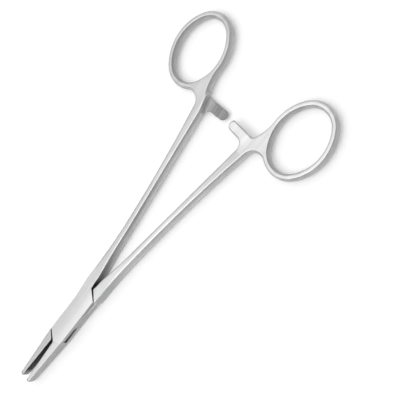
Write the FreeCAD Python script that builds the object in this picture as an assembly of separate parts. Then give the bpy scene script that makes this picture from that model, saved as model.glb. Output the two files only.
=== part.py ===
import FreeCAD, Part
import math
import os

os.makedirs("parts", exist_ok=True)
V = FreeCAD.Vector

# Surgical needle holder with a box lock, finger rings and a ratchet.
# Millimetres, +Z up, Y along the instrument towards the rings.
# Origin: on the pivot axis, at the underside of the box.
# Each half is drawn as a right half in the closed pose, about its mid plane z = 0.
# The female half is then mirrored, and both are turned apart to the rest pose.

# pose and thickness
rest_opening = 4.2
box_thick = 6.2
ring_thick = 4.6
side_bulge = 0.9
face_gap = 0.08

# shank edges of the flat top face
outer_x = 6.35
outer_y = 60.0
outer_slope = 0.0908
outer_radius = 650.0
inner_x = 1.65
inner_y = 30.0
inner_slope = 0.0935
join_y = 46.0

# root of the shank: height above its start, inner x, outer x, bulge of the sides
root_rise = 1.5
root_rows = (
    (0.0, 0.08, 4.62, 0.12),
    (4.5, 0.12, 4.66, 0.26),
    (12.0, 0.84, 4.98, 0.52),
    (20.0, 1.58, 5.45, 0.76),
)

# finger ring
ring_x = 26.0
ring_y = 123.5
ring_lean = 1.9
ring_long = 15.95
ring_short = 12.15
ring_end_radius = 10.0
ring_flat = 1.25
shank_web_radius = 5.6
arm_web_rise = 11.3
arm_web_sweep = 20.0

# ratchet arm
arm_drop = 16.05
arm_width = 3.25
arm_end = -1.4
arm_end_flat = 0.4
arm_web_radius = 1.8
arm_root_radius = 4.0
arm_bulge = 0.3
arm_gap = 0.12
arm_cut_below = 3.3
arm_floor_fillet = 2.3
arm_pocket_slant = 0.24
arm_pocket_run = 8.0
tooth_pitch = 1.45
tooth_count = 3
tooth_depth = 0.75
tooth_crest = 0.26
tooth_rake = 0.12
first_tooth = 1.45
tooth_landing = 0.4
end_slope = 0.5

# box lock
cheek_x = 4.6
waist_x = 3.95
waist_y = 7.0
seam_in_y = 15.5
seam_drop = 0.854
seam_closed_gap = 0.16
slot_setback = 0.15
slot_drop = 0.618
slot_height = 2.5
tongue_play = 0.04
wall_clearance = 0.15
edge_break = 0.35
pin_radius = 1.6
pin_play = 0.05

# jaw
jaw_root_x = 3.85
jaw_root_y = -12.5
jaw_tip_x = 1.65
tip_y = -38.9
tip_thick = 4.2
tip_round = 0.9
tip_lean = 0.25
tip_outer_radius = 0.85
tip_inner_radius = 0.3
taper_start = 1.0
taper_step = 0.02
groove_pitch = 0.6
groove_depth = 0.14
groove_sink = 0.02

# how far a cutting shape runs past what it cuts
over = 1.0

half_box = box_thick / 2.0
half_ring = ring_thick / 2.0
root_y = seam_in_y + root_rise
arm_low = ring_y - arm_drop
arm_high = arm_low + arm_width
arm_corner = (arm_width - arm_end_flat) / 2.0
taper_y = jaw_root_y - taper_start


def unit(x, y):
    """Unit vector along (x, y)."""
    s = math.hypot(x, y)
    return x / s, y / s


def meet_line(c, r, p, t, last=False):
    """Where the line through p along t crosses the circle (c, r): first or last crossing."""
    tx, ty = unit(t[0], t[1])
    k = (c[0] - p[0]) * tx + (c[1] - p[1]) * ty
    fx, fy = p[0] + k * tx, p[1] + k * ty
    h = math.sqrt(r * r - (fx - c[0]) ** 2 - (fy - c[1]) ** 2)
    if not last:
        h = -h
    return fx + h * tx, fy + h * ty


def meet_circles(c1, r1, c2, r2):
    """The crossing of two circles that lies left of the way from c1 to c2."""
    dx, dy = c2[0] - c1[0], c2[1] - c1[1]
    s = math.hypot(dx, dy)
    ux, uy = dx / s, dy / s
    k = (r1 * r1 - r2 * r2 + s * s) / (2.0 * s)
    h = math.sqrt(r1 * r1 - k * k)
    return c1[0] + k * ux - h * uy, c1[1] + k * uy + h * ux


def on_circle(c, r, p):
    """Point of the circle (c, r) in the direction of p."""
    ux, uy = unit(p[0] - c[0], p[1] - c[1])
    return c[0] + r * ux, c[1] + r * uy


def arc_turn(p, q, c):
    """Signed angle from p to q about c, the short way round."""
    a0 = math.atan2(p[1] - c[1], p[0] - c[0])
    a1 = math.atan2(q[1] - c[1], q[0] - c[0])
    return (a1 - a0 + math.pi) % (2.0 * math.pi) - math.pi


def flat_edge(p, q, c, z):
    """Edge of the outline at height z: a line, or an arc when it has a centre."""
    if c is None:
        return Part.makeLine(V(p[0], p[1], z), V(q[0], q[1], z))
    a = math.atan2(p[1] - c[1], p[0] - c[0]) + arc_turn(p, q, c) / 2.0
    r = math.hypot(p[0] - c[0], p[1] - c[1])
    mid = V(c[0] + r * math.cos(a), c[1] + r * math.sin(a), z)
    return Part.Arc(V(p[0], p[1], z), mid, V(q[0], q[1], z)).toShape()


def side_face(p, q, c):
    """Bulged side over one edge of a counter-clockwise outline."""
    if c is None:
        ux, uy = unit(q[0] - p[0], q[1] - p[1])
        nx, ny = uy, -ux
    else:
        turn = arc_turn(p, q, c)
        sign = math.copysign(1.0, turn)
        ux, uy = unit(p[0] - c[0], p[1] - c[1])
        nx, ny = sign * ux, sign * uy
    mid = V(p[0] + side_bulge * nx, p[1] + side_bulge * ny, 0)
    profile = Part.Arc(V(p[0], p[1], half_ring), mid, V(p[0], p[1], -half_ring)).toShape()
    if c is None:
        return profile.extrude(V(q[0] - p[0], q[1] - p[1], 0))
    return profile.revolve(V(c[0], c[1], 0), V(0, 0, 1), math.degrees(turn))


def bulged_solid(outline):
    """Forged bar over a closed, tangent outline: flat faces, bulged sides."""
    faces = [side_face(p, q, c) for p, q, c in outline]
    for z in (half_ring, -half_ring):
        wire = Part.Wire([flat_edge(p, q, c, z) for p, q, c in outline])
        faces.append(Part.Face(wire))
    shell = Part.makeShell(faces)
    shell.sewShape()
    solid = Part.Solid(shell)
    if solid.Volume < 0:
        solid.reverse()
    return solid


def ring_point(x, y):
    """Ring coordinates to the half's coordinates."""
    a = math.radians(ring_lean)
    px = x * math.cos(a) + y * math.sin(a)
    py = -x * math.sin(a) + y * math.cos(a)
    return px + ring_x, py + ring_y


def ring_oval(shift):
    """Centres, radii and corner points of the ring's four arcs, moved outwards by shift."""
    a, b, r = ring_long, ring_short, ring_end_radius
    big = ((a - r) ** 2 + b * b - r * r) / (2.0 * (b - r))
    ux, uy = unit(big - b, a - r)
    x, y = (r + shift) * ux, a - r + (r + shift) * uy
    x = -x
    centres = {"low": ring_point(0, r - a), "right": ring_point(b - big, 0)}
    centres["top"] = ring_point(0, a - r)
    centres["left"] = ring_point(big - b, 0)
    corners = {"low_left": ring_point(x, -y), "low_right": ring_point(-x, -y)}
    corners["top_right"] = ring_point(-x, y)
    corners["top_left"] = ring_point(x, y)
    return centres, r + shift, big + shift, corners


def arm_web(side_c, side_r):
    """Web from the ring's inner side to the arm: its top, sweep centre, joint and round centre."""
    top = meet_line(side_c, side_r, (0.0, arm_high + arm_web_rise), (1.0, 0.0))
    ux, uy = unit(top[0] - side_c[0], top[1] - side_c[1])
    reach = side_r + arm_web_sweep
    sweep_c = (side_c[0] + reach * ux, side_c[1] + reach * uy)
    y = arm_high + arm_web_radius
    k = arm_web_sweep - arm_web_radius
    round_c = (sweep_c[0] + math.sqrt(k * k - (y - sweep_c[1]) ** 2), y)
    joint = on_circle(sweep_c, arm_web_sweep, round_c)
    return top, sweep_c, joint, round_c


def upper_outline():
    """Flat top outline of upper shank, web, ratchet arm and ring, counter-clockwise."""
    cen, end_r, side_r, cor = ring_oval(ring_flat / 2.0)
    # outer shank edge and its web to the ring
    ox, oy = unit(outer_slope, 1.0)
    shank_c = (outer_x + outer_radius * oy, outer_y - outer_radius * ox)
    f1 = shank_web_radius
    c1 = meet_circles(shank_c, outer_radius - f1, cen["low"], end_r + f1)
    a1 = on_circle(shank_c, outer_radius, c1)
    b1 = on_circle(c1, f1, cen["low"])
    # web between ring and upper edge of the arm: a long sweep, then a small round
    b2, sweep_c, m2, c2 = arm_web(cen["left"], side_r)
    a2 = (c2[0], arm_high)
    # web between lower edge of the arm and inner shank edge
    f2 = arm_root_radius
    wx, wy = unit(inner_slope, 1.0)
    y3 = arm_low - f2
    x3 = inner_x + inner_slope * (y3 - inner_y) - f2 / wy
    a3 = (x3, arm_low)
    b3 = (x3 + f2 * wy, y3 - f2 * wx)
    # rounded end of the arm
    r = arm_corner
    t1 = (arm_end + r, arm_high)
    t2 = (arm_end, arm_high - r)
    t3 = (arm_end, arm_low + r)
    t4 = (arm_end + r, arm_low)
    # lower end, below the join, where it is cut off
    e = edge_break
    y4 = join_y - 3.0 * over
    in_c = (inner_x + inner_slope * (y4 - inner_y) + e / wy, y4)
    d1 = (in_c[0] - e * wy, in_c[1] + e * wx)
    d2 = (in_c[0], y4 - e)
    out_c = meet_line(shank_c, outer_radius + e, (0.0, y4), (1.0, 0.0))
    d3 = (out_c[0], y4 - e)
    d4 = on_circle(out_c, e, shank_c)
    return [
        (d4, a1, shank_c),
        (a1, b1, c1),
        (b1, cor["low_right"], cen["low"]),
        (cor["low_right"], cor["top_right"], cen["right"]),
        (cor["top_right"], cor["top_left"], cen["top"]),
        (cor["top_left"], b2, cen["left"]),
        (b2, m2, sweep_c),
        (m2, a2, c2),
        (a2, t1, None),
        (t1, t2, (arm_end + r, arm_high - r)),
        (t2, t3, None),
        (t3, t4, (arm_end + r, arm_low + r)),
        (t4, a3, None),
        (a3, b3, (x3, y3)),
        (b3, d1, None),
        (d1, d2, in_c),
        (d2, d3, None),
        (d3, d4, out_c),
    ]


def finger_hole():
    """Cutter for the finger hole, with the ring's bulged inner side."""
    cen, end_r, side_r, cor = ring_oval(-ring_flat / 2.0)
    return bulged_solid([
        (cor["low_right"], cor["low_left"], cen["low"]),
        (cor["low_left"], cor["top_left"], cen["left"]),
        (cor["top_left"], cor["top_right"], cen["top"]),
        (cor["top_right"], cor["low_right"], cen["right"]),
    ])


def arm_trim():
    """Space beside the arm's upper edge, which bulges less than the other sides."""
    cen, end_r, side_r, cor = ring_oval(ring_flat / 2.0)
    top, sweep_c, joint, c = arm_web(cen["left"], side_r)
    h = ring_thick
    x0 = arm_end - side_bulge - over
    beside = Part.makeBox(c[0] - x0, side_bulge + over, h, V(x0, arm_high + arm_bulge, -h / 2.0))
    corner = Part.makeCylinder(arm_web_radius - arm_bulge, h, V(c[0], c[1], -h / 2.0))
    return beside.fuse(corner)


def upper_half():
    """Upper shank, web, ratchet arm and ring above the join."""
    body = bulged_solid(upper_outline()).cut(finger_hole()).cut(arm_trim())
    w = outer_x + 2.0 * over
    below = Part.makeBox(2.0 * w, 10.0 * over, 2.0 * ring_thick, V(-w, join_y - 10.0 * over, -ring_thick))
    return body.cut(below)


def join_section(body):
    """Cross section of the upper half at the join, as a wire."""
    for face in body.Faces:
        if abs(face.CenterOfMass.y - join_y) < 0.001:
            return face.OuterWire
    raise RuntimeError("no section at the join")


def root_section(y, x_in, x_out, bulge):
    """Cross section of the shank's root at y: flat faces, bulged sides."""
    k = (y - root_y) / (join_y - root_y)
    h = half_box + (half_ring - half_box) * k
    x0 = x_in + bulge
    x1 = x_out - bulge
    outer = Part.Arc(V(x1, y, -h), V(x_out, y, 0), V(x1, y, h)).toShape()
    inner = Part.Arc(V(x0, y, h), V(x_in, y, 0), V(x0, y, -h)).toShape()
    top = Part.makeLine(V(x1, y, h), V(x0, y, h))
    low = Part.makeLine(V(x0, y, -h), V(x1, y, -h))
    return Part.Wire([outer, top, inner, low])


def shank_and_ring():
    """Everything of a half above the box."""
    upper = upper_half()
    rows = [root_section(root_y + rise, x_in, x_out, bulge) for rise, x_in, x_out, bulge in root_rows]
    rows.append(join_section(upper))
    return upper.fuse(Part.makeLoft(rows, True, True))


def prism(points, z0, z1):
    """Straight-sided solid over a closed polygon."""
    pts = [V(x, y, z0) for x, y in points]
    return Part.Face(Part.makePolygon(pts + [pts[0]])).extrude(V(0, 0, z1 - z0))


def seam_y(x, gap=0.0):
    """y of the seam at x > 0, with the shoulder moved away from the cheek by gap."""
    return seam_in_y - seam_drop * x + gap * math.hypot(1.0, seam_drop)


def slot_y(x, gap=0.0):
    """y of the slot's end wall at x < 0, with the tongue held back by gap."""
    return seam_in_y - slot_setback + slot_drop * x - gap * math.hypot(1.0, slot_drop)


def round_sides(shape):
    """Round the long outer edges of the top and bottom faces of a box block."""
    picked = []
    for e in shape.Edges:
        p = e.CenterOfMass
        if abs(abs(p.z) - half_box) < 0.01 and abs(p.x) > waist_x - 0.5 and e.Length > 2.0:
            picked.append(e)
    return shape.makeFillet(edge_break, picked)


def jaw_x(y):
    """Half width of the closed jaws at y."""
    k = (y - jaw_root_y) / (tip_y + tip_outer_radius - jaw_root_y)
    return jaw_root_x + (jaw_tip_x - jaw_root_x) * k


def long_rounds(shape):
    """Round the long outer edges of a jaw block."""
    picked = []
    for e in shape.Edges:
        m = e.CenterOfMass
        along = abs(e.Vertexes[0].Point.y - e.Vertexes[-1].Point.y)
        if abs(m.z) > 1.0 and m.x < -face_gap - 0.5 and along > 1.0:
            picked.append(e)
    return shape.makeFillet(edge_break, picked)


def tip_shape():
    """Space kept by the rounded jaw tip, seen from above and from the side."""
    g = face_gap
    ro, ri = tip_outer_radius, tip_inner_radius
    x2, y2, z = -jaw_tip_x, tip_y + ro, -half_box - over
    far = (-2.0 * jaw_root_x, jaw_root_y)
    outline = [
        (far, (x2, y2), None),
        ((x2, y2), (x2 + ro, tip_y), (x2 + ro, y2)),
        ((x2 + ro, tip_y), (-g - ri, tip_y), None),
        ((-g - ri, tip_y), (-g, tip_y + ri), (-g - ri, tip_y + ri)),
        ((-g, tip_y + ri), (-g, far[1]), None),
        ((-g, far[1]), far, None),
    ]
    wire = Part.Wire([flat_edge(p, q, c, z) for p, q, c in outline])
    above = Part.Face(wire).extrude(V(0, 0, box_thick + 2.0 * over))
    t, r = tip_thick / 2.0, tip_round
    high = half_box + over
    side = [(far[1], high), (tip_y + r, high), (tip_y + r, t)]
    side += [(tip_y + tip_lean * r, t - 0.3 * r), (tip_y, t - r)]
    side += [(y, -w) for y, w in reversed(side)]
    pts = [V(far[0], y, w) for y, w in side]
    return above.common(Part.Face(Part.makePolygon(pts + [pts[0]])).extrude(V(-far[0], 0, 0)))


def jaw_grooves():
    """Comb of V grooves across the gripping face of a jaw."""
    crest = -face_gap - groove_sink
    low = tip_y + tip_inner_radius + groove_pitch / 2.0
    count = int((taper_y - over - low) / groove_pitch)
    pts = [(over, low)]
    for i in range(count):
        y = low + i * groove_pitch
        pts += [(crest, y), (crest - groove_depth, y + groove_pitch / 2.0)]
    high = low + count * groove_pitch
    return prism(pts + [(crest, high), (over, high)], -half_box, half_box)


def jaw():
    """Jaw of the right half, on the -X side."""
    g = face_gap
    y0, y1 = jaw_root_y + 1.5 * over, taper_y
    root = prism([(-g, y0), (-jaw_x(y0), y0), (-jaw_x(y1), y1), (-g, y1)], -half_box, half_box)
    slope = (half_box - taper_step - tip_thick / 2.0) / (taper_y - tip_y)
    rows = []
    for y in (taper_y + 0.3 * over, tip_y - 2.0 * over):
        x = taper_step - jaw_x(y)
        w = tip_thick / 2.0 + slope * (y - tip_y)
        pts = [V(-g, y, -w), V(x, y, -w), V(x, y, w), V(-g, y, w)]
        rows.append(Part.makePolygon(pts + [pts[0]]))
    body = long_rounds(Part.makeLoft(rows, True, True)).common(tip_shape())
    return long_rounds(root).fuse(body.cut(jaw_grooves()))


def teeth_space(last, root):
    """Space above the teeth of the lower ratchet arm, out past its end."""
    crest = root + tooth_depth
    top = half_ring + over
    pts = [(last + tooth_landing, root)]
    for i in range(tooth_count):
        x = last - i * tooth_pitch
        pts += [(x, root), (x - tooth_rake, crest), (x - tooth_rake - tooth_crest, crest)]
    x_end = arm_end - side_bulge - over
    pts += [(first_tooth, root), (x_end, root - end_slope), (x_end, top), (last + tooth_landing, top)]
    wire = Part.makePolygon([V(x, 0, z) for x, z in pts + [pts[0]]])
    return Part.Face(wire).extrude(V(0, arm_cut_below + arm_width + side_bulge + over, 0))


def pocket_space(last, root):
    """Space of the pocket at the arm's root: its wall slants into the ring's inner side."""
    x0 = last + tooth_landing / 2.0
    x1 = last + tooth_landing + arm_floor_fillet
    length = arm_cut_below + arm_width + arm_pocket_run
    x2 = x1 + arm_pocket_slant * length
    space = prism([(x0, 0), (x1, 0), (x2, length), (x0, length)], root, half_ring + over)
    foot = V((x1 + x2) / 2.0, length / 2.0, root)
    picked = [e for e in space.Edges if (e.CenterOfMass - foot).Length < 0.01]
    return space.makeFillet(arm_floor_fillet, picked)


def arm_space():
    """Space above the toothed face of the lower ratchet arm."""
    root = -arm_gap - tooth_depth
    last = first_tooth + tooth_count * tooth_pitch
    space = teeth_space(last, root).fuse(pocket_space(last, root))
    space.translate(V(0, arm_low - arm_cut_below, 0))
    return space


def slot():
    """Space of the slot through the box, drawn for the mirrored female half."""
    far = 2.0 * cheek_x
    end = root_y + 4.0 * over
    pts = [(far, slot_y(-far)), (face_gap, slot_y(-face_gap)), (face_gap, end), (-far, end)]
    pts += [(-x, -y) for x, y in pts]
    return prism(pts, -slot_height / 2.0, slot_height / 2.0)


def female():
    """Half with the box, drawn as a right half."""
    g = face_gap
    x_top = root_rows[0][2]
    y_top = root_y
    pts = [(g, y_top), (g, seam_y(g)), (-cheek_x, seam_y(cheek_x)), (-jaw_root_x, jaw_root_y)]
    pts += [(-jaw_x(taper_y), taper_y), (-g, -seam_y(g) - 0.5), (-g, -seam_y(g))]
    pts += [(cheek_x, -seam_y(cheek_x)), (waist_x, waist_y), (x_top, y_top)]
    body = shank_and_ring().fuse(round_sides(prism(pts, -half_box, half_box))).fuse(jaw())
    body = body.cut(slot()).cut(arm_space())
    return body.cut(Part.makeCylinder(pin_radius, box_thick, V(0, 0, -half_box)))


def tongue():
    """Flat tongue that fills the slot, right half."""
    g = face_gap + 0.1
    c = wall_clearance
    t = slot_height / 2.0 - tongue_play
    pts = [(g, root_y), (g, slot_y(-g, c)), (0.0, slot_y(0.0, c)), (-waist_x, slot_y(-waist_x, c))]
    pts += [(-waist_x, waist_y), (-cheek_x, -seam_y(cheek_x)), (-cheek_x, -seam_y(cheek_x) - 1.0)]
    low = [(-g, -root_y), (-g, -slot_y(-g, c)), (0.0, -slot_y(0.0, c))]
    low.append((jaw_root_x, -slot_y(-jaw_root_x, c)))
    top = [(cheek_x, seam_y(cheek_x)), (cheek_x, seam_y(cheek_x) + 1.0)]
    return prism(pts + low + top, -t, t)


def male():
    """Half with the tongue, drawn as a right half."""
    g = face_gap
    c = seam_closed_gap
    x_top = root_rows[0][2]
    y_top = root_y
    pts = [(g, y_top), (g, seam_y(g, c)), (cheek_x, seam_y(cheek_x, c)), (x_top, y_top)]
    root = round_sides(prism(pts, -half_box, half_box))
    far = 2.0 * cheek_x
    behind = prism([(-far, -seam_y(far, c)), (far, -seam_y(-far, c)), (far, 0), (-far, 0)], -far, far)
    body = shank_and_ring().fuse(root).fuse(jaw().cut(behind)).fuse(tongue())
    body = body.cut(arm_space().mirror(V(0, 0, 0), V(0, 0, 1)))
    return body.cut(Part.makeCylinder(pin_radius + pin_play, box_thick, V(0, 0, -half_box)))


def finish(shape, turn_deg, name):
    """Check that a half is one solid, turn it to the rest pose and lift it."""
    clean = shape.removeSplitter()
    if len(clean.Solids) != 1 or not clean.isValid():
        raise RuntimeError(name + " is not one valid solid")
    solid = clean.Solids[0]
    solid.rotate(V(0, 0, 0), V(0, 0, 1), turn_deg)
    solid.translate(V(0, 0, half_box))
    return solid


mirrored = female().mirror(V(0, 0, 0), V(1, 0, 0))
pieces = {
    "female_half": finish(mirrored, rest_opening / 2.0, "female_half"),
    "male_half": finish(male(), -rest_opening / 2.0, "male_half"),
    "pivot_pin": Part.makeCylinder(pin_radius, box_thick),
}

for name, shape in pieces.items():
    shape.exportStep("parts/" + name + ".step")
    size = shape.optimalBoundingBox()
    spans = [size.XMin, size.XMax, size.YMin, size.YMax, size.ZMin, size.ZMax]
    print(name, round(shape.Volume, 1), "mm3", [round(s, 2) for s in spans])
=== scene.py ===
import math

import bpy
from mathutils import Euler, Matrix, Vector

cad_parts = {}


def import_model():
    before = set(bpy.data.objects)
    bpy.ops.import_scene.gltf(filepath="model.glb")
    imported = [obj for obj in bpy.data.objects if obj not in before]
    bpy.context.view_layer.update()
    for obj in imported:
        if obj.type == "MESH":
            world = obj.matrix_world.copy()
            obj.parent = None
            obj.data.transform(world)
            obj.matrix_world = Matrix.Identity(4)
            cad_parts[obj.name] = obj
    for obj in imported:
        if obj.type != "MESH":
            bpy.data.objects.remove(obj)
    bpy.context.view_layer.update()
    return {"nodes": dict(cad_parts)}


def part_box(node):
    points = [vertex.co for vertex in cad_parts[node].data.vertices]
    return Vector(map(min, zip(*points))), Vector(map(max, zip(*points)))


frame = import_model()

# Surgical needle holder: satin steel on the three CAD nodes, paper floor, light tent and camera.
# Metres. Each half has its own line, which runs from its jaw (-Y) to its ring (+Y).

# The camera, solved from the rings and the box of the photograph.
# The target is the pivot axis at the top of the box, and shift is where the camera sees it:
# across, up and ahead in the camera's own axes.
CAMERA_TURN = (6.592, 29.435, 43.788)
CAMERA_SHIFT = Vector((-0.055647, -0.049912, -0.3689))
CAMERA_LENS = 76.5
CAMERA_SENSOR = 36.0

BOX_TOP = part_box("pivot_pin")[1].z

# How far the halves stand open at rest, as in the CAD source. Each is turned by half of it.
REST_OPENING = math.radians(4.2)

# The light tent: pale sides, a wide soft panel overhead and a smaller, brighter one.
# A panel is its level, the angles from its axis at which it ends and is full, and its axis.
TENT_LEVEL = 0.36
PANEL = (1.04, 60.0, 40.0, (-0.10, -0.05, 1.0))
MIDDLE = (2.20, 25.0, 5.0, (0.05, -0.32, 0.94))

# The paper floor, and what it adds of its own where a ray sees it as the background.
FLOOR_REACH = 3.0
PAPER = 0.85
PAPER_ROUGHNESS = 0.9
PAPER_SPECULAR = 0.1
PAPER_GLOW = 0.24

# Satin stainless steel, with slow clouds in its tone.
STEEL = (0.60, 0.60, 0.605)
CLOUD_SCALE = 90.0
CLOUD_DETAIL = 3.0
CLOUD_RANGE = (0.3, 0.7)
CLOUD_TONES = (0.95, 1.05)

# Brush lines and grain, as noise scales per metre. The lines have one each across, along and up.
BRUSH_SCALE = (9000.0, 260.0, 9000.0)
BRUSH_DETAIL = 3.0
GRAIN_SCALE = 5200.0
GRAIN_DETAIL = 2.0
RELIEF_STRENGTH = 0.22
RELIEF_HEIGHT = 0.00002

# Least roughness of the tops, and the most that brush lines and clouds add to it.
ROUGHNESS = 0.29
BRUSH_ROUGHNESS = 0.16
CLOUD_ROUGHNESS = 0.10

# Worn edges: width, samples, how far the normals turn apart (as cosines), polish, and the tone of the
# painted highlight that brightens their colour.
EDGE_WIDTH = 0.00032
EDGE_SAMPLES = 6
EDGE_TURN = (0.99, 0.80)
EDGE_POLISH = 0.22
EDGE_PAINTED_HIGHLIGHT = 1.5

# The pin is ground flush with the box, so no worn edge shows inside this distance from its axis.
PIN_FACE = (0.0021, 0.0025)

# The ground tops: how level a face is, how wide they are crowned, and how that changes along Y.
TOP_FACING = (0.95, 0.99)
CROWN_WIDTH = 0.0014
CROWN_SAMPLES = 8
CROWN_STEPS = ((0.018, 0.030, 0.60), (0.098, 0.110, -0.35))

# How the tops of the box and the jaws lean towards their sides, per metre, and where that ends.
BOX_CROWN = 9.0
BOX_END = (0.018, 0.030)

# Painted shade in narrow gaps, where ambient occlusion darkens the colour: how far it looks, the
# openness from dark to full colour, and its tone.
GAP_SHADE_REACH = 0.0016
GAP_SHADE_SAMPLES = 6
GAP_SHADE_OPEN = (0.05, 0.32)
GAP_SHADE_TONE = 0.12

# Broad belt strokes: noise scales per metre across, along and up, and how much they change the tone.
STROKE_SCALE = (420.0, 16.0, 420.0)
STROKE_DETAIL = 2.0
STROKE_RANGE = (0.3, 0.7)
STROKE_SHARE = 0.08

# How the tone of the ground tops changes along each half, as painted light and shade: start, end and
# change.
# In each such list the first step lies before the jaw's tip, so it is the level that the rest change.
FEMALE_LIGHT_AND_SHADE_STEPS = ((-0.100, -0.090, 1.0), (0.018, 0.030, -0.06), (0.100, 0.112, 0.02))
MALE_LIGHT_AND_SHADE_STEPS = ((-0.100, -0.090, 0.90), (0.018, 0.030, 0.14), (0.045, 0.095, -0.12), (0.100, 0.112, 0.16))

# The walls are bead blasted: duller than the ground tops. Their colour carries painted light and shade,
# in steps of their own along Y.
# A face is a wall as its normal's upright part goes from the first value to the second.
WALL_FACING = (0.75, 0.35)
WALL_LIGHT_AND_SHADE_STEPS = ((-0.100, -0.090, 0.89), (0.018, 0.040, 0.21), (0.100, 0.112, -0.12))
WALL_DULL = 0.25

# Patches of another tone in the half's own line: X range, Y range, softness along Y, tone.
# The first three are painted shade on inner walls (jaw gap, crotch, box slot), the last is painted
# light on the top of the upper ratchet arm.
GRIP_PAINTED_SHADE = ((-0.0006, 0.0006), (-0.0365, -0.0085), 0.002, 0.30)
CROTCH_PAINTED_SHADE = ((-0.0030, 0.0030), (0.0100, 0.0190), 0.003, 0.20)
TONGUE_PAINTED_SHADE = ((0.0010, 0.0060), (-0.0160, -0.0045), 0.0015, 0.35)
# Painted light: the top of the upper ratchet arm is made brighter.
UPPER_ARM_PAINTED_LIGHT = ((-0.0060, 0.0110), (0.1030, 0.1120), 0.0005, 1.16)
PATCH_SOFT_X = 0.0003

# Where the lower ratchet arm is, in the female half's own line, with the softness of each limit.
ARM_X = (-0.0110, 0.0040)
ARM_BOX = (
    ("X", ARM_X, 0.0002),
    ("Y", (0.1035, 0.1115), 0.0002),
    ("Z", (-0.0010, 0.0034), 0.0001),
)

# Its painted shade, a tone that darkens from the ring to the free end, and how much duller it is than
# the shank.
ARM_PAINTED_SHADE = (1.00, 0.48)
ARM_DULL = 0.30

# The Mix node has sockets of one name for each kind of value. These are the vector ones.
MIX_A = 4
MIX_B = 5
MIX_RESULT = 1

# Spacing of shader nodes in the editor, and how many stand in a row.
NODE_STEP = 220
NODE_ROW = 12


def add(tree, kind, **values):
    """New shader node at the next free place, with some attributes set."""
    row, column = divmod(len(tree.nodes), NODE_ROW)
    made = tree.nodes.new(kind)
    made.location = (NODE_STEP * column, -NODE_STEP * row)
    for key, value in values.items():
        setattr(made, key, value)
    return made


def feed(tree, socket, value):
    """Link an output to a socket, or set the socket to a constant."""
    if isinstance(value, bpy.types.NodeSocket):
        tree.links.new(value, socket)
    else:
        socket.default_value = value


def maths(tree, operation, a, b=None, clamp=False):
    """Result of a Math node."""
    made = add(tree, "ShaderNodeMath", operation=operation, use_clamp=clamp)
    feed(tree, made.inputs[0], a)
    if b is not None:
        feed(tree, made.inputs[1], b)
    return made.outputs[0]


def vectors(tree, operation, a, b=None, result="Vector"):
    """Result of a Vector Math node."""
    made = add(tree, "ShaderNodeVectorMath", operation=operation)
    feed(tree, made.inputs[0], a)
    if b is not None:
        feed(tree, made.inputs[1], b)
    return made.outputs[result]


def mapped(tree, value, source, target=(0.0, 1.0), smooth=False):
    """Value carried from one range to another and held at its ends."""
    made = add(tree, "ShaderNodeMapRange", interpolation_type="SMOOTHSTEP" if smooth else "LINEAR")
    feed(tree, made.inputs["Value"], value)
    for name, number in zip(("From Min", "From Max", "To Min", "To Max"), (*source, *target)):
        made.inputs[name].default_value = number
    return made.outputs["Result"]


def mixed(tree, share, a, b):
    """Vector between a and b."""
    made = add(tree, "ShaderNodeMix", data_type="VECTOR")
    feed(tree, made.inputs["Factor"], share)
    feed(tree, made.inputs[MIX_A], a)
    feed(tree, made.inputs[MIX_B], b)
    return made.outputs[MIX_RESULT]


def noise(tree, vector, scale, detail):
    """Noise from 0 to 1."""
    made = add(tree, "ShaderNodeTexNoise")
    feed(tree, made.inputs["Vector"], vector)
    made.inputs["Scale"].default_value = scale
    made.inputs["Detail"].default_value = detail
    return made.outputs["Fac"]


def rounded(tree, width, samples):
    """Normal as if edges were rounded over this width."""
    made = add(tree, "ShaderNodeBevel", samples=samples)
    made.inputs["Radius"].default_value = width
    return made.outputs["Normal"]


def scaled(tree, color, factor):
    """Colour times a factor."""
    made = add(tree, "ShaderNodeVectorMath", operation="SCALE")
    feed(tree, made.inputs[0], color)
    feed(tree, made.inputs["Scale"], factor)
    return made.outputs["Vector"]


def between(tree, value, limits, soft):
    """Mask that is 1 where value lies between the limits."""
    low, high = limits
    up = mapped(tree, value, (low - soft, low + soft), smooth=True)
    down = mapped(tree, value, (high + soft, high - soft), smooth=True)
    return maths(tree, "MULTIPLY", up, down)


def stepped(tree, along, steps):
    """Sum of smooth steps along the half, each with its start, end and change."""
    value = 0.0
    for low, high, change in steps:
        value = maths(tree, "ADD", mapped(tree, along, (low, high), (0.0, change), smooth=True), value)
    return value


def faced(tree, tone, mask):
    """Tone where the mask is 1, and 1 elsewhere."""
    change = maths(tree, "SUBTRACT", tone, 1.0)
    change = maths(tree, "MULTIPLY", change, mask)
    return maths(tree, "ADD", change, 1.0)


def patched(tree, spot, faces, patch):
    """Tone factor of a patch of painted light and shade, on the faces that the mask names."""
    xs, ys, soft, tone = patch
    mask = between(tree, spot["X"], xs, PATCH_SOFT_X)
    mask = maths(tree, "MULTIPLY", mask, between(tree, spot["Y"], ys, soft))
    mask = maths(tree, "MULTIPLY", mask, faces)
    return mapped(tree, mask, (0.0, 1.0), (1.0, tone))


def own_line(tree, place, turn):
    """Object coordinates turned into the half's own line."""
    made = add(tree, "ShaderNodeMapping")
    made.inputs["Rotation"].default_value = (0.0, 0.0, turn)
    feed(tree, made.inputs["Vector"], place)
    return made.outputs["Vector"]


def split(tree, vector):
    """The X, Y and Z outputs of a vector."""
    made = add(tree, "ShaderNodeSeparateXYZ")
    feed(tree, made.inputs["Vector"], vector)
    return made.outputs


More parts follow.
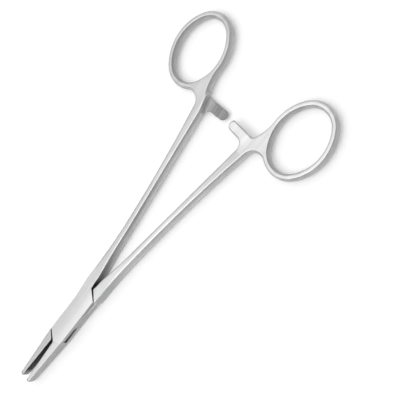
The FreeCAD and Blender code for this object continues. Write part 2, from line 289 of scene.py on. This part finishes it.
def worn_edges(tree, place, here):
    """Normal over the worn edges, and the mask of those edges, which gets their polish and a painted
    highlight.
    """
    worn = rounded(tree, EDGE_WIDTH, EDGE_SAMPLES)
    turned = vectors(tree, "DOT_PRODUCT", worn, here["Normal"], "Value")
    edge = mapped(tree, turned, EDGE_TURN)
    flat = vectors(tree, "MULTIPLY", place, (1.0, 1.0, 0.0))
    clear = mapped(tree, vectors(tree, "LENGTH", flat, result="Value"), PIN_FACE)
    normal = mixed(tree, clear, here["Normal"], worn)
    return normal, maths(tree, "MULTIPLY", edge, clear)


def crowned(tree, spot, normal, level):
    """Normal of the ground tops, which lean a little towards their edges."""
    share = maths(tree, "MULTIPLY", level, stepped(tree, spot["Y"], CROWN_STEPS))
    bent = mixed(tree, share, normal, rounded(tree, CROWN_WIDTH, CROWN_SAMPLES))
    lower = maths(tree, "SUBTRACT", 1.0, mapped(tree, spot["Y"], BOX_END))
    lower = maths(tree, "MULTIPLY", lower, level)
    lean = maths(tree, "MULTIPLY", spot["X"], BOX_CROWN)
    tilt = add(tree, "ShaderNodeCombineXYZ")
    feed(tree, tilt.inputs["X"], maths(tree, "MULTIPLY", lean, lower))
    return vectors(tree, "NORMALIZE", vectors(tree, "ADD", bent, tilt.outputs["Vector"]))


def gap_painted_shade(tree):
    """Tone factor of the painted shade in narrow gaps, from ambient occlusion."""
    depth = add(tree, "ShaderNodeAmbientOcclusion", samples=GAP_SHADE_SAMPLES)
    depth.inputs["Distance"].default_value = GAP_SHADE_REACH
    return mapped(tree, depth.outputs["AO"], GAP_SHADE_OPEN, (GAP_SHADE_TONE, 1.0))


def belt_strokes(tree, line):
    """Tone factor of the long broad strokes left by the grinding belt."""
    stroke = noise(tree, vectors(tree, "MULTIPLY", line, STROKE_SCALE), 1.0, STROKE_DETAIL)
    return mapped(tree, stroke, STROKE_RANGE, (1.0 - STROKE_SHARE, 1.0 + STROKE_SHARE))


def clouded_steel(tree, cloud):
    """Steel colour with its slow clouds."""
    made = add(tree, "ShaderNodeValToRGB")
    for element, position, tone in zip(made.color_ramp.elements, CLOUD_RANGE, CLOUD_TONES):
        element.position = position
        element.color = (*[part * tone for part in STEEL], 1.0)
    feed(tree, made.inputs["Fac"], cloud)
    return made.outputs["Color"]


def lower_arm(tree, spot):
    """Mask of the lower ratchet arm, and its painted shade factor."""
    mask = 1.0
    for axis, limits, soft in ARM_BOX:
        mask = maths(tree, "MULTIPLY", between(tree, spot[axis], limits, soft), mask)
    return mask, faced(tree, mapped(tree, spot["X"], ARM_X, ARM_PAINTED_SHADE), mask)


def satin_steel(name, turn, top_light_and_shade_steps, wall_painted_shade=(), top_painted_light=(), ratchet=False):
    """Satin stainless steel, brushed along the half, with worn, polished edges that carry a painted
    highlight, and painted light and shade in its tone.
    """
    material = bpy.data.materials.new(name)
    material.use_nodes = True
    tree = material.node_tree
    shader = tree.nodes["Principled BSDF"]
    shader.inputs["Metallic"].default_value = 1.0

    place = add(tree, "ShaderNodeTexCoord").outputs["Object"]
    here = add(tree, "ShaderNodeNewGeometry").outputs
    line = own_line(tree, place, turn)
    spot = split(tree, line)
    upward = split(tree, here["True Normal"])["Z"]
    level = mapped(tree, upward, TOP_FACING)
    wall = mapped(tree, maths(tree, "ABSOLUTE", upward), WALL_FACING, smooth=True)

    brush = noise(tree, vectors(tree, "MULTIPLY", line, BRUSH_SCALE), 1.0, BRUSH_DETAIL)
    grain = noise(tree, place, GRAIN_SCALE, GRAIN_DETAIL)
    cloud = noise(tree, place, CLOUD_SCALE, CLOUD_DETAIL)
    edged, edge = worn_edges(tree, place, here)
    facing = crowned(tree, spot, edged, level)

    rough = maths(tree, "MULTIPLY", brush, BRUSH_ROUGHNESS)
    rough = maths(tree, "ADD", rough, maths(tree, "MULTIPLY", cloud, CLOUD_ROUGHNESS))
    rough = maths(tree, "ADD", rough, ROUGHNESS)
    rough = maths(tree, "SUBTRACT", rough, maths(tree, "MULTIPLY", edge, EDGE_POLISH))
    rough = maths(tree, "ADD", rough, maths(tree, "MULTIPLY", wall, WALL_DULL))

    # Colour factors: painted shade in gaps, painted highlight on edges, belt strokes, and painted light
    # and shade on walls and tops.
    tones = [
        gap_painted_shade(tree),
        mapped(tree, edge, (0.0, 1.0), (1.0, EDGE_PAINTED_HIGHLIGHT)),
        belt_strokes(tree, line),
        faced(tree, stepped(tree, spot["Y"], WALL_LIGHT_AND_SHADE_STEPS), wall),
        faced(tree, stepped(tree, spot["Y"], top_light_and_shade_steps), level),
    ]
    tones += [patched(tree, spot, wall, patch) for patch in wall_painted_shade]
    tones += [patched(tree, spot, level, patch) for patch in top_painted_light]
    if ratchet:
        mask, tone = lower_arm(tree, spot)
        tones.append(tone)
        rough = maths(tree, "ADD", rough, maths(tree, "MULTIPLY", mask, ARM_DULL))

    color = clouded_steel(tree, cloud)
    for tone in tones:
        color = scaled(tree, color, tone)
    feed(tree, shader.inputs["Base Color"], color)
    feed(tree, shader.inputs["Roughness"], maths(tree, "MINIMUM", rough, 1.0))

    bump = add(tree, "ShaderNodeBump")
    bump.inputs["Strength"].default_value = RELIEF_STRENGTH
    bump.inputs["Distance"].default_value = RELIEF_HEIGHT
    feed(tree, bump.inputs["Height"], maths(tree, "ADD", brush, grain))
    feed(tree, bump.inputs["Normal"], facing)
    feed(tree, shader.inputs["Normal"], bump.outputs["Normal"])
    return material


def floor_material():
    """Plain white paper: a little glow as background, and it keeps the shadow."""
    material = bpy.data.materials.new("floor_paper")
    material.use_nodes = True
    tree = material.node_tree
    shader = tree.nodes["Principled BSDF"]
    shader.inputs["Base Color"].default_value = (PAPER, PAPER, PAPER, 1.0)
    shader.inputs["Roughness"].default_value = PAPER_ROUGHNESS
    shader.inputs["Specular IOR Level"].default_value = PAPER_SPECULAR
    shader.inputs["Emission Color"].default_value = (1.0, 1.0, 1.0, 1.0)
    ray = add(tree, "ShaderNodeLightPath").outputs
    seen = maths(tree, "MAXIMUM", ray["Is Camera Ray"], ray["Is Glossy Ray"])
    seen = maths(tree, "MAXIMUM", seen, ray["Is Transmission Ray"])
    feed(tree, shader.inputs["Emission Strength"], maths(tree, "MULTIPLY", seen, PAPER_GLOW))
    return material


def floor():
    """Large floor under the object."""
    far = FLOOR_REACH
    mesh = bpy.data.meshes.new("floor")
    corners = [(-far, -far, 0.0), (far, -far, 0.0), (far, far, 0.0), (-far, far, 0.0)]
    mesh.from_pydata(corners, [], [(0, 1, 2, 3)])
    made = bpy.data.objects.new("floor", mesh)
    bpy.context.scene.collection.objects.link(made)
    made.data.materials.append(floor_material())


def panel_light(tree, toward, panel):
    """Light of a soft round panel of the tent, by direction."""
    strength, edge, full, axis = panel
    facing = vectors(tree, "DOT_PRODUCT", toward, Vector(axis).normalized(), "Value")
    limits = [math.cos(math.radians(angle)) for angle in (edge, full)]
    return mapped(tree, facing, limits, (0.0, strength), smooth=True)


def world():
    """Light tent: two soft panels overhead, and sides that are brightest near the floor."""
    made = bpy.data.worlds.new("studio")
    bpy.context.scene.world = made
    made.use_nodes = True
    tree = made.node_tree
    back = tree.nodes["Background"]
    back.inputs["Color"].default_value = (1.0, 1.0, 1.0, 1.0)
    toward = add(tree, "ShaderNodeTexCoord").outputs["Generated"]
    panels = maths(tree, "ADD", panel_light(tree, toward, PANEL), panel_light(tree, toward, MIDDLE))
    low = maths(tree, "SUBTRACT", 1.0, split(tree, toward)["Z"], clamp=True)
    sides = maths(tree, "MULTIPLY", low, TENT_LEVEL)
    feed(tree, back.inputs["Strength"], maths(tree, "ADD", panels, sides))


def camera():
    """Camera at the photograph's viewing angle."""
    lens = bpy.data.cameras.new("camera")
    lens.lens = CAMERA_LENS
    lens.sensor_width = CAMERA_SENSOR
    made = bpy.data.objects.new("camera", lens)
    bpy.context.scene.collection.objects.link(made)
    turn = Euler([math.radians(angle) for angle in CAMERA_TURN], "XYZ")
    made.rotation_euler = turn
    made.location = Vector((0.0, 0.0, BOX_TOP)) - turn.to_matrix() @ CAMERA_SHIFT
    bpy.context.scene.camera = made


def dress():
    """Give each CAD node its steel. The pin is brushed with the box that it is ground flush with."""
    female_turn = -REST_OPENING / 2
    male_turn = REST_OPENING / 2
    female = satin_steel("satin_steel_female", female_turn, FEMALE_LIGHT_AND_SHADE_STEPS, (GRIP_PAINTED_SHADE, CROTCH_PAINTED_SHADE), ratchet=True)
    male = satin_steel("satin_steel_male", male_turn, MALE_LIGHT_AND_SHADE_STEPS, (GRIP_PAINTED_SHADE, CROTCH_PAINTED_SHADE, TONGUE_PAINTED_SHADE), (UPPER_ARM_PAINTED_LIGHT,))
    pin = satin_steel("satin_steel_pin", female_turn, FEMALE_LIGHT_AND_SHADE_STEPS)
    for name, material in (("female_half", female), ("male_half", male), ("pivot_pin", pin)):
        slots = frame["nodes"][name].data.materials
        slots.clear()
        slots.append(material)


dress()
floor()
world()
camera()

scene = bpy.context.scene
scene.view_settings.view_transform = "Standard"
